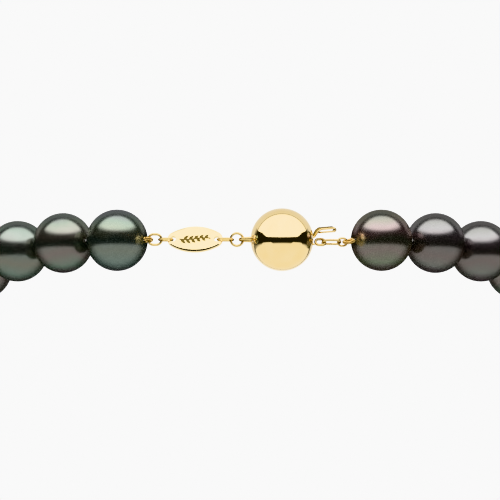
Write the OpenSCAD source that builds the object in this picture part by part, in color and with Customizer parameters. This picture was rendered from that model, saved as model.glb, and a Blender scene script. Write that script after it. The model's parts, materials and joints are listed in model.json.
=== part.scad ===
// Knotted strand of round dark pearls with a gold ball clasp, an oval tag and a short
// chain. Millimetres, +Z up. It lies as it is worn: the clasp at the nape, the strand
// running round the neck (+Y) and down to the centre pearl at the front. The origin is
// the point at the back of the clasp ball that rests against the nape.

/* [Strand] */
// Pearls on each side of the centre pearl
side_pearls = 19; // [19:1:19]
// Diameter of the pearls beside the clasp
back_pearl_d = 9.75; // [9:0.05:10]
// Diameter of the centre pearl
front_pearl_d = 11.2; // [10.5:0.1:12]
// How much the pearls differ from an even graduation, each way
pearl_spread = 0.12; // [0:0.02:0.15]
// Gap that a knot fills between two pearls
knot_gap = 0.5; // [0.45:0.05:0.8]
// Radius of the drill hole in a pearl
bore_r = 0.4; // [0.4:0.05:0.5]
// Radius of the silk thread inside the drill holes
thread_r = 0.25; // [0.2:0.01:0.3]
// Radius of a knot across the thread
knot_r = 0.55; // [0.5:0.01:0.6]

/* [Worn shape] */
// Distance from the line of symmetry to the chain end of the first pearl on each side
first_knot_x = 16.4; // [16.2:0.1:16.6]
// Line of symmetry of the strand, beside the clasp ball
middle_x = -5.2; // [-5.4:0.1:-5]
// Half width of the plan curve round the neck
neck_half_w = 46; // [45:0.5:48]
// Depth of the plan curve from the nape to the sides of the neck
nape_depth = 41; // [40:1:44]
// Height of the centre pearl below the clasp
worn_drop = 105; // [100:1:110]
// How much the curve widens towards the front, as a share of its half width
front_widening = 0.5; // [0.45:0.01:0.55]
// Exponent that keeps the strand level at the nape and lets it drop at the front
drop_power = 5.2; // [5:0.1:5.4]

/* [Ball clasp] */
// Diameter of the clasp ball
ball_d = 10; // [10:0.5:10]
// Wall thickness of the ball's two cups
cup_wall = 0.5; // [0.4:0.05:0.5]
// Height of the right chain and tongue below the ball's centre
tongue_drop = 0.4; // [0.3:0.05:0.4]
// Thickness of the tongue's base strip
tongue_t = 0.3; // [0.25:0.05:0.3]
// Thickness of the spring leaf and its release lever
leaf_t = 0.26; // [0.24:0.02:0.3]
// Width of the tongue's base strip
tongue_w = 2.2; // [2:0.1:2.3]
// Width of the spring leaf and its release lever
leaf_w = 1.9; // [1.6:0.1:2]
// Length of the tongue inside the ball, past the ball's centre
tongue_reach = 2.6; // [2.4:0.1:2.8]

/* [Chain] */
// Wire radius of the small links
link_wire_r = 0.18; // [0.16:0.01:0.18]
// Wire radius of the rings
ring_wire_r = 0.2; // [0.18:0.01:0.2]
// Slack between two links that pull on each other
link_slack = 0.03; // [0.03:0.01:0.04]
// Tube radius of the coiled wire that guards the thread at the clasp
gimp_r = 0.3; // [0.26:0.01:0.3]

/* [Tag] */
// Length of the oval tag
tag_l = 8.8; // [8.6:0.1:9]
// Height of the oval tag
tag_h = 4.4; // [4.2:0.1:4.6]
// Thickness of the oval tag
tag_t = 0.7; // [0.6:0.05:0.7]
// Radius of the hole at each end of the tag
tag_hole_r = 0.5; // [0.48:0.01:0.52]
// Width of the rim between a hole and the tag's end
tag_rim = 0.4; // [0.38:0.01:0.42]
// Backward lean of the tag's face
tag_lean = 25; // [20:1:27]

/* [Hidden] */
$fn = 96;
eps = 0.01;
thread_lap = 0.06;
knot_clear = 0.1;
ball_r = ball_d / 2;
ball_c = [0, -ball_r, 0];
cup_r = ball_r - cup_wall;

// The strand's curve. The angle runs from 0 at the nape to 180 at the front centre.
ball_angle = asin(-middle_x / neck_half_w);
nape_y = -ball_r - nape_depth * (1 - cos(ball_angle));
first_angle = asin(first_knot_x / neck_half_w);
function widening(a) = 1 + front_widening * pow(sin(a / 2), 4);
function depth(a, throat) = a < 90 ? nape_depth * (1 - cos(a)) : nape_depth - throat * cos(a);
function on_curve(a, throat) = [
    neck_half_w * sin(a) * widening(a),
    nape_y + depth(a, throat),
    -worn_drop * pow(sin(a / 2), drop_power)
];

// Pearl diameters. Number 0 is beside the clasp, and number side_pearls is the centre pearl.
function graduated(i) = back_pearl_d + (front_pearl_d - back_pearl_d) * pow(i / side_pearls, 1.3);
function pearl_d(i) = graduated(i) + (i < side_pearls ? pearl_spread * cos(150 * i) : 0);
function pitch(i) = pearl_d(i) + knot_gap;

// The angle at which the next knot lies, by halving the interval between lo and hi.
function next_angle(from, gap, throat, lo, hi, steps) =
    steps == 0 ? (lo + hi) / 2 :
    norm(on_curve((lo + hi) / 2, throat) - on_curve(from, throat)) < gap
        ? next_angle(from, gap, throat, (lo + hi) / 2, hi, steps - 1)
        : next_angle(from, gap, throat, lo, (lo + hi) / 2, steps - 1);
function walk(throat) = [
    for (i = 0, a = first_angle; i <= side_pearls;
         a = next_angle(a, pitch(i), throat, a, a + 40, 28), i = i + 1) a
];
// The curve's depth in front of the sides of the neck at which the walk ends beside the
// centre pearl, so that the two halves close.
function end_x(throat) = on_curve(walk(throat)[side_pearls], throat)[0];
function closing_throat(lo, hi, steps) =
    steps == 0 ? (lo + hi) / 2 :
    end_x((lo + hi) / 2) < pitch(side_pearls) / 2
        ? closing_throat((lo + hi) / 2, hi, steps - 1)
        : closing_throat(lo, (lo + hi) / 2, steps - 1);
throat_depth = closing_throat(60, 130, 22);
half_strand = [for (a = walk(throat_depth)) on_curve(a, throat_depth)];

// side is -1 for the left of the clasp and 1 for the right. Knot 0 is where the first
// pearl meets the chain, and knot i lies between pearls i - 1 and i.
function knot_c(side, i) = [middle_x + side * half_strand[i][0], half_strand[i][1], half_strand[i][2]];
function next_knot(side, i) = i < side_pearls ? knot_c(side, i + 1) : knot_c(-side, side_pearls);
function pearl_c(side, i) = (knot_c(side, i) + next_knot(side, i)) / 2;
function bore_dir(side, i) = unit(next_knot(side, i) - knot_c(side, i));
function unit(v) = v / norm(v);

// The short chains. Each runs level from the ball's centre towards its first pearl.
function chain_turn(side) = let (d = knot_c(side, 0) - ball_c) atan2(d[1], d[0]);
function chain_reach(side) = let (d = knot_c(side, 0) - ball_c) norm([d[0], d[1]]);
function rounded(v) = floor(100 * v) / 100;

// Left chain: places along it of each wire's centre, counted from the ball's centre.
ball_loop_far = 6.7;
ball_loop_wire_r = 0.25;
ball_loop_bend = 0.7;
round_ring_r = 1;
round_ring_near = ball_loop_far - ball_loop_wire_r - ring_wire_r - link_slack;
round_ring_far = round_ring_near + 2 * round_ring_r;
wire_pitch = ring_wire_r + link_wire_r + link_slack;
rim_slack = 0.2;
rim_pitch = tag_rim / 2 + rim_slack + link_wire_r;
small_link_inner_r = 0.68;
small_link_bend = small_link_inner_r + link_wire_r;
inner_link_near = round_ring_far - wire_pitch;
tag_near = 9.5;
tag_end_r = 1.35;
tag_mid = tag_near + tag_l / 2;
tag_rim_near = tag_near + tag_rim / 2;
tag_rim_far = tag_near + tag_l - tag_rim / 2;
inner_link_far = tag_rim_near + rim_pitch;
outer_link_near = tag_rim_far - rim_pitch;
gimp_bend = 0.55;
oval_link_bend = 0.83;
oval_link_l = 2.15;
oval_link_to_pearl = 0.3;
oval_link_far = rounded(chain_reach(-1) - oval_link_to_pearl);
oval_link_near = oval_link_far - oval_link_l;
outer_link_far = oval_link_near + wire_pitch;
left_gimp_near = oval_link_far - ring_wire_r - gimp_r - link_slack;

// Right chain.
tongue_loop_wire_r = 0.22;
tongue_loop_near = 5.45;
tongue_loop_far = 7.02;
tongue_loop_bend = 0.53;
right_link_bend = 0.6;
right_ring_wire_r = 0.17;
right_ring_bend = 0.6;
right_ring_l = 1.5;
right_ring_to_pearl = 0.84;
right_ring_far = rounded(chain_reach(1) - right_ring_to_pearl);
right_ring_near = right_ring_far - right_ring_l;
right_link_near = tongue_loop_far - tongue_loop_wire_r - link_wire_r - link_slack;
right_link_far = right_ring_near + right_ring_wire_r + link_wire_r + link_slack;
right_gimp_near = right_ring_far - right_ring_wire_r - gimp_r - link_slack;

// Clasp tongue and its box, measured from the ball's centre along the right chain.
base_z = -0.75;
leaf_z = 0.28;
fold_r = 0.25;
fold_x = -tongue_reach + fold_r;
fold_foot = [fold_x + 0.85, leaf_z - 0.62];
box_wall = 0.15;
box_half_w = 1.5;
box_low = -1.1;
box_high = 0.85;
box_back = -3.4;
lip_x = 3.3;
lip_l = 0.3;
lip_clear = 0.05;
slot_half_w = 1.3;
slot_low = -0.98;
slot_high = 0.72;
ball_loop_root = ball_r - 0.2;
lever_path = [[4.6, leaf_z], [5.1, 0.4], [5.75, 1.45], [6.2, 1.75], [8.3, 1.92]];
lever_fold_r = 0.26;
lever_tip = lever_path[4];
lever_back = [6.3, 1.22];

gold = [0.93, 0.76, 0.42];
pale_gold = [0.97, 0.86, 0.62];
silk = [0.62, 0.62, 0.6];

function two(i) = i < 10 ? str("0", i) : str(i);
function pearl_name(side, i) =
    i == side_pearls ? "pearl_centre" : str(side < 0 ? "pearl_left_" : "pearl_right_", two(i + 1));

// Puts a child that lies along +X from the ball's centre on the chain of one side.
module along_chain(side) translate(ball_c) rotate([0, 0, chain_turn(side)]) children();

// Turns a child from +Z to the direction d.
module turned_to(d) rotate([0, acos(d[2] / norm(d)), atan2(d[1], d[0])]) children();

// A closed link in the XY plane whose wire centres run from x = near to x = far.
module link(near, far, bend, wire_r) {
    for (end = [[near + bend, 90], [far - bend, -90]])
        translate([end[0], 0, 0]) rotate([0, 0, end[1]])
            rotate_extrude(angle = 180) translate([bend, 0]) circle(r = wire_r);
    straight = far - near - 2 * bend;
    if (straight > eps)
        for (s = [-1, 1])
            translate([near + bend, s * bend, 0]) rotate([0, 90, 0]) cylinder(r = wire_r, h = straight);
}

module upright() rotate([90, 0, 0]) children();

// A strip of thickness t along the points of a path.
module strip(path, t) {
    for (i = [0:len(path) - 2]) {
        step = path[i + 1] - path[i];
        translate(path[i]) rotate(atan2(step[1], step[0]))
            translate([0, -t / 2]) square([norm(step), t]);
    }
    for (p = path) translate(p) circle(d = t);
}

module cup(side) difference() {
    sphere(r = ball_r);
    sphere(r = cup_r);
    translate([side > 0 ? -ball_d : 0, -ball_d, -ball_d])
        cube([ball_d, 2 * ball_d, 2 * ball_d]);
}

module ball_cup_left() color(gold) translate(ball_c) cup(-1);

module ball_cup_right() color(gold) difference() {
    translate(ball_c) cup(1);
    along_chain(1)
        translate([ball_r / 2, -slot_half_w, slot_low])
            cube([ball_r, 2 * slot_half_w, slot_high - slot_low]);
}

// The box inside the ball that guides the tongue, soldered to the right cup's inner face.
module catch_box() color(gold) along_chain(1) intersection() {
    union() {
        difference() {
            translate([box_back, -box_half_w, box_low])
                cube([ball_r - box_back, 2 * box_half_w, box_high - box_low]);
            translate([box_back - eps, box_wall - box_half_w, box_low + box_wall])
                cube([2 * ball_r, 2 * (box_half_w - box_wall), box_high - box_low - 2 * box_wall]);
        }
        lip_low = leaf_z + leaf_t / 2 + lip_clear;
        translate([lip_x, -box_half_w, lip_low])
            cube([lip_l, 2 * box_half_w, box_high - lip_low]);
    }
    sphere(r = cup_r);
}

module ball_loop() color(pale_gold) along_chain(-1) difference() {
    link(ball_loop_root, ball_loop_far, ball_loop_bend, ball_loop_wire_r);
    sphere(r = ball_r);
}

module base_strip() translate([-tongue_reach, -tongue_w / 2, base_z - tongue_t / 2])
    cube([tongue_loop_near + tongue_reach - tongue_loop_wire_r, tongue_w, tongue_t]);

// The base strip, rounded at its inner end.
module tongue_base() color(gold) along_chain(1) {
    base_strip();
    translate([-tongue_reach, tongue_w / 2, base_z])
        rotate([90, 0, 0]) cylinder(d = tongue_t, h = tongue_w);
}

// The thick eye on the end of the tongue that takes the chain.
module tongue_loop() color(pale_gold) along_chain(1) difference() {
    translate([0, 0, -tongue_drop]) upright()
        link(tongue_loop_near, tongue_loop_far, tongue_loop_bend, tongue_loop_wire_r);
    base_strip();
}

// Half of a ring of strip about the origin, on the side that x has the sign of.
module half_ring(side, r, t) difference() {
    circle(r = r + t / 2);
    circle(r = r - t / 2);
    translate([side > 0 ? -2 * r - t : 0, -2 * r]) square([2 * r + t, 4 * r]);
}

// The spring leaf with its fold inside the ball and its folded release lever outside.
module spring_lever() color(gold) along_chain(1)
    translate([0, leaf_w / 2, 0]) rotate([90, 0, 0]) linear_extrude(leaf_w) {
        strip([[fold_x, leaf_z], lever_path[0]], leaf_t);
        translate([fold_x, leaf_z - fold_r]) half_ring(-1, fold_r, leaf_t);
        strip([[fold_x, leaf_z - 2 * fold_r], fold_foot], leaf_t);
        strip(lever_path, leaf_t);
        translate(lever_tip - [0, lever_fold_r]) half_ring(1, lever_fold_r, leaf_t);
        strip([lever_tip - [0, 2 * lever_fold_r], lever_back], leaf_t);
    }

module round_ring() color(pale_gold) along_chain(-1) upright()
    translate([round_ring_near + round_ring_r, 0, 0])
        rotate_extrude() translate([round_ring_r, 0]) circle(r = ring_wire_r);

module inner_link() color(pale_gold) along_chain(-1)
    link(inner_link_near, inner_link_far, small_link_bend, link_wire_r);

// An oval of four tangent arcs, l long and h high.
module oval(l, h, end_r) {
    run = l / 2 - end_r;
    side_r = (run * run + h * h / 4 - end_r * end_r) / (h - 2 * end_r);
    side_c = side_r - h / 2;
    joint = end_r * run / (side_r - end_r);
    intersection() {
        for (s = [-1, 1]) translate([s * run, 0]) circle(r = end_r);
        square([2 * l, 2 * l], center = true);
    }
    intersection() {
        translate([0, side_c]) circle(r = side_r);
        translate([0, -side_c]) circle(r = side_r);
        square([2 * (run + joint), 2 * h], center = true);
    }
}

module tag() color(pale_gold) along_chain(-1) translate([tag_mid, 0, 0]) rotate([tag_lean, 0, 0]) upright()
    translate([0, 0, -tag_t / 2]) difference() {
        linear_extrude(tag_t) oval(tag_l, tag_h, tag_end_r);
        for (s = [-1, 1])
            translate([s * (tag_l / 2 - tag_rim - tag_hole_r), 0, -tag_t])
                cylinder(r = tag_hole_r, h = 3 * tag_t);
    }

module outer_link() color(pale_gold) along_chain(-1)
    link(outer_link_near, outer_link_far, small_link_bend, link_wire_r);

module oval_link() color(pale_gold) along_chain(-1) upright()
    link(oval_link_near, oval_link_far, oval_link_bend, ring_wire_r);

// A loop of coiled wire tube that ends at the first pearl's drill hole.
module gimp(side, near, low) color(gold) difference() {
    along_chain(side) translate([0, 0, low]) difference() {
        link(near, chain_reach(side) + 2 * gimp_bend, gimp_bend, gimp_r);
        translate([chain_reach(side) + gimp_bend / 2, -2 * gimp_bend, -gimp_bend])
            cube([4 * gimp_bend, 4 * gimp_bend, 2 * gimp_bend]);
    }
    translate(pearl_c(side, 0)) sphere(d = pearl_d(0) + 2 * link_slack);
}

module gimp_left() gimp(-1, left_gimp_near, 0);

module right_link() color(pale_gold) along_chain(1) translate([0, 0, -tongue_drop])
    link(right_link_near, right_link_far, right_link_bend, link_wire_r);

module right_ring() color(pale_gold) along_chain(1) translate([0, 0, -tongue_drop]) upright()
    link(right_ring_near, right_ring_far, right_ring_bend, right_ring_wire_r);

module gimp_right() gimp(1, right_gimp_near, -tongue_drop);

// Body colours run from green and teal through grey to aubergine along the strand.
function pearl_colour(i) = let (t = (cos(97 * i) + 1) / 2)
    [0.25 + 0.12 * t, 0.3 - 0.02 * t, 0.28 + 0.03 * t];

module pearl(side, i) color(pearl_colour(side < 0 ? i : i + 5)) translate(pearl_c(side, i))
    turned_to(bore_dir(side, i)) difference() {
        sphere(d = pearl_d(i));
        cylinder(r = bore_r, h = 2 * pearl_d(i), center = true);
    }

// A flat knot between pearls i - 1 and i.
module knot(side, i) translate(knot_c(side, i)) turned_to(pearl_c(side, i) - pearl_c(side, i - 1))
    cylinder(r = knot_r, h = knot_gap - 2 * knot_clear, center = true);

// The thread through the pearls of one side, with its knots.
module silk_run(side, last) color(silk) {
    $fn = 24;
    for (i = [0:last]) {
        start = i == 0 ? knot_gap / 2 : -thread_lap;
        end = i == side_pearls ? -knot_gap / 2 : thread_lap;
        translate(knot_c(side, i) + start * bore_dir(side, i)) turned_to(bore_dir(side, i))
            cylinder(r = thread_r, h = pitch(i) - start + end);
    }
    for (i = [1:min(last + 1, side_pearls)]) knot(side, i);
}

module silk_left() silk_run(-1, side_pearls);

module silk_right() silk_run(1, side_pearls - 1);

ball_cup_left();
ball_cup_right();
catch_box();
ball_loop();
tongue_base();
tongue_loop();
spring_lever();
round_ring();
inner_link();
tag();
outer_link();
oval_link();
gimp_left();
right_link();
right_ring();
gimp_right();
silk_left();
silk_right();
for (i = [0:side_pearls])
    pearl(-1, i);
for (i = [0:side_pearls - 1])
    pearl(1, i);
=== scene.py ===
"""Looks for a knotted strand of dark pearls with a gold ball clasp, a tag and short chains.

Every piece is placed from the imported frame: the pearls from their boxes, the drill holes
from the knots' hinges, and the metal parts from the extents of their CAD nodes along the
two chains. Lengths below are in metres through MM.
"""

import json
import math

import bmesh
import bpy
from mathutils import Matrix, Vector, noise


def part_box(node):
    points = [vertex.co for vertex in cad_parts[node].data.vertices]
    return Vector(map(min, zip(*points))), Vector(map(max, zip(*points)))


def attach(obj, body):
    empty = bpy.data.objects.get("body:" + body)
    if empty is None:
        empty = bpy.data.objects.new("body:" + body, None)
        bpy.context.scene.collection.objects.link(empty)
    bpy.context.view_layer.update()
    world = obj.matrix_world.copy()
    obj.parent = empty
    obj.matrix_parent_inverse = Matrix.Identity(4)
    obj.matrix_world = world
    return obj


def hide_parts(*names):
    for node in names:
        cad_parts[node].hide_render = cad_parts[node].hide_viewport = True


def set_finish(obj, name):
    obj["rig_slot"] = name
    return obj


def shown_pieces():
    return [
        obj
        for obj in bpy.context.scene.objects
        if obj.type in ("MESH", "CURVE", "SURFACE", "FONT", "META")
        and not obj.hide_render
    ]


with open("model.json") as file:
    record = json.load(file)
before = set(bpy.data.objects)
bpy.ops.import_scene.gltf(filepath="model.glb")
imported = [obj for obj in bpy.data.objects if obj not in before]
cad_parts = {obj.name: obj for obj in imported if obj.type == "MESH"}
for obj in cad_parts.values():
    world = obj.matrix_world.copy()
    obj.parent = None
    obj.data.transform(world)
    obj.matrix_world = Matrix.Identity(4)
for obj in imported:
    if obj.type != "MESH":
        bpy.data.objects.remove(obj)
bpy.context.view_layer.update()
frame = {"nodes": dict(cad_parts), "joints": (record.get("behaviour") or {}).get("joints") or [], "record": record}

MM = 0.001
UP = Vector((0, 0, 1))
NODES = frame["nodes"]
JOINTS = {j["name"]: j for j in frame["joints"]}
SLOTS = {s["node"]: s["material_slot"] for s in frame["record"]["subparts"]}
BODY_OF = {n: b for b, members in frame["record"]["behaviour"]["bodies"].items() for n in members}
SIDE_PEARLS = sum(name.startswith("pearl_left_") for name in NODES)


# ---------------------------------------------------------------- places from the frame

def centre(node):
    low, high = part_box(node)
    return (Vector(low) + Vector(high)) / 2


def pivot(joint):
    return Vector(JOINTS[joint]["pos_m"])


def extent(node, origin, axis):
    """Lowest and highest place of a CAD node along an axis through origin."""
    along = [(v.co - origin).dot(axis) for v in NODES[node].data.vertices]
    return min(along), max(along)


BALL_C = (centre("ball_cup_left") + centre("ball_cup_right")) / 2
BALL_C.x = (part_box("ball_cup_left")[0][0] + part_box("ball_cup_right")[1][0]) / 2
BALL_R = (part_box("ball_cup_left")[1][2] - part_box("ball_cup_left")[0][2]) / 2


def level(v):
    return Vector((v.x, v.y, 0)).normalized()


CHAIN_LEFT = level(pivot("ball_loop_swing") - BALL_C)
CHAIN_RIGHT = level(Vector(JOINTS["tongue_slide"]["axis"]))


def chain_frame(along, lift=0.0):
    """Matrix from chain coordinates, x along the chain from the ball's centre and z up."""
    across = UP.cross(along)
    m = Matrix((along, across, UP)).transposed().to_4x4()
    m.translation = BALL_C + UP * lift
    return m


# ---------------------------------------------------------------- mesh helpers

def shade(mesh, sharp_deg):
    """Smooth shading with the edges steeper than sharp_deg kept crisp."""
    bm = bmesh.new()
    bm.from_mesh(mesh)
    bmesh.ops.recalc_face_normals(bm, faces=bm.faces)
    limit = math.radians(sharp_deg)
    for f in bm.faces:
        f.smooth = True
    for e in bm.edges:
        e.smooth = len(e.link_faces) == 2 and e.calc_face_angle(0) < limit
    bm.to_mesh(mesh)
    bm.free()


def piece(name, verts, faces, material, node, sharp_deg=40, place=None):
    """A mesh piece that rides with a CAD node's body and takes its material slot."""
    mesh = bpy.data.meshes.new(name)
    mesh.from_pydata([place @ Vector(v) if place else v for v in verts], [], faces)
    mesh.update()
    shade(mesh, sharp_deg)
    mesh.materials.append(material)
    obj = bpy.data.objects.new(name, mesh)
    bpy.context.scene.collection.objects.link(obj)
    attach(obj, BODY_OF[node])
    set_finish(obj, SLOTS[node])
    return obj


def rings_to_faces(rings, sides, closed):
    """Quads between consecutive rings of the same number of points."""
    faces = []
    for i in range(rings if closed else rings - 1):
        a, b = i * sides, (i + 1) % rings * sides
        for k in range(sides):
            n = (k + 1) % sides
            faces.append((a + k, a + n, b + n, b + k))
    return faces


def sweep(path, section, closed=False, first_normal=None):
    """Sweeps section(i, share) -> [(u, v), ...] along path, carrying the frame without twist."""
    count = len(path)
    tangents = []
    for i in range(count):
        before = path[i - 1] if closed or i else path[i]
        after = path[(i + 1) % count] if closed or i < count - 1 else path[i]
        tangents.append((after - before).normalized())
    normal = first_normal or tangents[0].orthogonal()
    normal = (normal - tangents[0] * normal.dot(tangents[0])).normalized()
    verts, sides = [], 0
    for i, (p, t) in enumerate(zip(path, tangents)):
        if i:
            turn = tangents[i - 1].rotation_difference(t)
            normal = (turn @ normal).normalized()
            normal = (normal - t * normal.dot(t)).normalized()
        side = t.cross(normal)
        ring = section(i, i / max(count - 1, 1))
        sides = len(ring)
        verts += [p + normal * u + side * v for u, v in ring]
    faces = rings_to_faces(count, sides, closed)
    if not closed:
        faces.append(tuple(range(sides))[::-1])
        faces.append(tuple((count - 1) * sides + k for k in range(sides)))
    return verts, faces


def circle(radius, sides):
    turns = [math.tau * k / sides for k in range(sides)]
    return [(radius * math.cos(a), radius * math.sin(a)) for a in turns]


def rounded_rect(width, height, radius, steps=5):
    """Corner-rounded rectangle about the origin, anticlockwise."""
    points = []
    corners = ((1, 1, 0), (-1, 1, 90), (-1, -1, 180), (1, -1, 270))
    for sx, sy, start in corners:
        cx, cy = sx * (width / 2 - radius), sy * (height / 2 - radius)
        for k in range(steps + 1):
            a = math.radians(start + 90 * k / steps)
            points.append((cx + radius * math.cos(a), cy + radius * math.sin(a)))
    return points


def wander(p, seed, scale):
    """Smooth noise from -1 to 1 at a point."""
    return noise.noise(Vector(p) * scale + Vector((seed * 7.3, seed * 3.1, seed * 5.7)))


# ---------------------------------------------------------------- materials

def shader(name):
    mat = bpy.data.materials.new(name)
    mat.use_nodes = True
    tree = mat.node_tree
    return mat, tree, tree.nodes["Principled BSDF"]


def add(tree, kind, **inputs):
    """A node with some of its inputs set; keys that aren't inputs are its properties."""
    node = tree.nodes.new(kind)
    for key, value in inputs.items():
        label = key.replace("_", " ").title()
        if label in node.inputs:
            node.inputs[label].default_value = value
        else:
            setattr(node, key, value)
    return node


def local_noise(tree, size, detail=2.0, stretch=(1, 1, 1), roughness=0.5):
    """Noise whose features are about size metres across, fixed to the piece."""
    coords = add(tree, "ShaderNodeTexCoord")
    mapping = add(tree, "ShaderNodeMapping", scale=[s / size for s in stretch])
    grain = add(tree, "ShaderNodeTexNoise", scale=1.0, detail=detail, roughness=roughness)
    tree.links.new(coords.outputs["Object"], mapping.inputs["Vector"])
    tree.links.new(mapping.outputs["Vector"], grain.inputs["Vector"])
    return grain


def ramp(tree, source, stops):
    """A colour ramp over (position, colour) stops."""
    node = add(tree, "ShaderNodeValToRGB")
    band = node.color_ramp
    while len(band.elements) < len(stops):
        band.elements.new(0.5)
    for element, (place, colour) in zip(band.elements, stops):
        element.position = place
        element.color = (*colour, 1)
    tree.links.new(source, node.inputs["Fac"])
    return node


def spread(tree, source, low, high):
    """Maps noise, which stays mostly between 0.3 and 0.7, to low..high."""
    node = add(tree, "ShaderNodeMapRange")
    for key, value in (("From Min", 0.3), ("From Max", 0.7), ("To Min", low), ("To Max", high)):
        node.inputs[key].default_value = value
    tree.links.new(source, node.inputs["Value"])
    return node.outputs["Result"]


def bump(tree, bsdf, source, strength, depth):
    node = add(tree, "ShaderNodeBump", strength=strength, distance=depth)
    tree.links.new(source, node.inputs["Height"])
    tree.links.new(node.outputs["Normal"], bsdf.inputs["Normal"])


def gold(name, colour, warm, rough, scratch, scratch_stretch=(1, 1, 1), edge=(1, 1, 1)):
    """Yellow gold: slightly uneven colour, polish haze and fine scratches."""
    mat, tree, bsdf = shader(name)
    bsdf.inputs["Metallic"].default_value = 1.0
    bsdf.inputs["Specular Tint"].default_value = (*edge, 1)
    tone = ramp(tree, local_noise(tree, 2.2 * MM, 3).outputs["Fac"], ((0.3, colour), (0.75, warm)))
    tree.links.new(tone.outputs["Color"], bsdf.inputs["Base Color"])
    haze = local_noise(tree, 0.35 * MM, 4, scratch_stretch)
    tree.links.new(spread(tree, haze.outputs["Fac"], rough * 0.7, rough * 1.5), bsdf.inputs["Roughness"])
    fine = local_noise(tree, 0.06 * MM, 2, scratch_stretch)
    bump(tree, bsdf, fine.outputs["Fac"], scratch, 0.004 * MM)
    return mat


# How far a pearl's colour bands (partly painted highlight and painted dim reflection) drift up and down, as a
# share of its height.
NACRE_DRIFT = 0.28


def nacre(name, lower, highlit_upper, overtone, edge):
    """Dark nacre: a tinted mirror-like skin whose base colour runs in bands from its underside to its top,
    drifting with noise.
    The bands are partly the nacre's own overtones and partly painted light: a lighter tone with a pinker lower
    edge painted where the highlight falls on the upper half, and greyer tones painted where the pearl mirrors
    little light.
    """
    mat, tree, bsdf = shader(name)
    bsdf.inputs["Metallic"].default_value = 0.85
    bsdf.inputs["Specular Tint"].default_value = (*edge, 1)
    coords = add(tree, "ShaderNodeTexCoord")
    height = add(tree, "ShaderNodeSeparateXYZ")
    tree.links.new(coords.outputs["Generated"], height.inputs[0])
    drift = local_noise(tree, 5.0 * MM, 2)
    shift = add(tree, "ShaderNodeMath", operation="MULTIPLY_ADD")
    shift.inputs[1].default_value = NACRE_DRIFT
    tree.links.new(drift.outputs["Fac"], shift.inputs[0])
    tree.links.new(height.outputs["Z"], shift.inputs[2])
    place = add(tree, "ShaderNodeMath", operation="SUBTRACT")
    place.inputs[1].default_value = NACRE_DRIFT / 2
    tree.links.new(shift.outputs[0], place.inputs[0])
    # Painted highlight and painted dim reflection by height: the lighter upper tone with its pinker lower edge
    # sits where the highlight falls, and the greyer tones sit where the pearl mirrors little light.
    stops = (
        (0.0, dim_reflection_grey(lower)),
        (0.12, overtone),
        (0.32, lower),
        (0.5, mean(dim_reflection_grey(lower), overtone)),
        (0.63, highlight_blush(highlit_upper)),
        (0.74, highlit_upper),
        (0.84, mean(highlit_upper, overtone)),
        (0.93, dim_reflection_grey(overtone)),
    )
    tone = ramp(tree, place.outputs[0], stops)
    tree.links.new(tone.outputs["Color"], bsdf.inputs["Base Color"])
    haze = local_noise(tree, 1.2 * MM, 3)
    tree.links.new(spread(tree, haze.outputs["Fac"], 0.19, 0.25), bsdf.inputs["Roughness"])
    rings = local_noise(tree, 0.8 * MM, 2, (0.35, 1, 1))
    bump(tree, bsdf, rings.outputs["Fac"], 0.05, 0.02 * MM)
    return mat


def mean(a, b):
    return [(p + q) / 2 for p, q in zip(a, b)]


def highlight_blush(colour):
    """A slightly pinker tone, painted where the highlight's lower edge falls."""
    return [c * k for c, k in zip(colour, (1.05, 0.97, 1.0))]


def dim_reflection_grey(colour):
    """The greyer, slightly mauve tone painted where the pearl mirrors little light: at its top and bottom and,
    mixed with the overtone, across its middle.
    """
    grey = sum(colour) / 3
    return mean(colour, (grey * 1.04, grey * 0.95, grey * 1.02))


def thread_finish(name, colour, shadow):
    mat, tree, bsdf = shader(name)
    fibres = local_noise(tree, 0.08 * MM, 3, (1, 1, 3))
    tone = ramp(tree, fibres.outputs["Fac"], ((0.3, shadow), (0.7, colour)))
    tree.links.new(tone.outputs["Color"], bsdf.inputs["Base Color"])
    bsdf.inputs["Roughness"].default_value = 0.55
    bsdf.inputs["Sheen Weight"].default_value = 0.6
    bsdf.inputs["Sheen Roughness"].default_value = 0.4
    bump(tree, bsdf, fibres.outputs["Fac"], 0.4, 0.03 * MM)
    return mat


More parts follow.
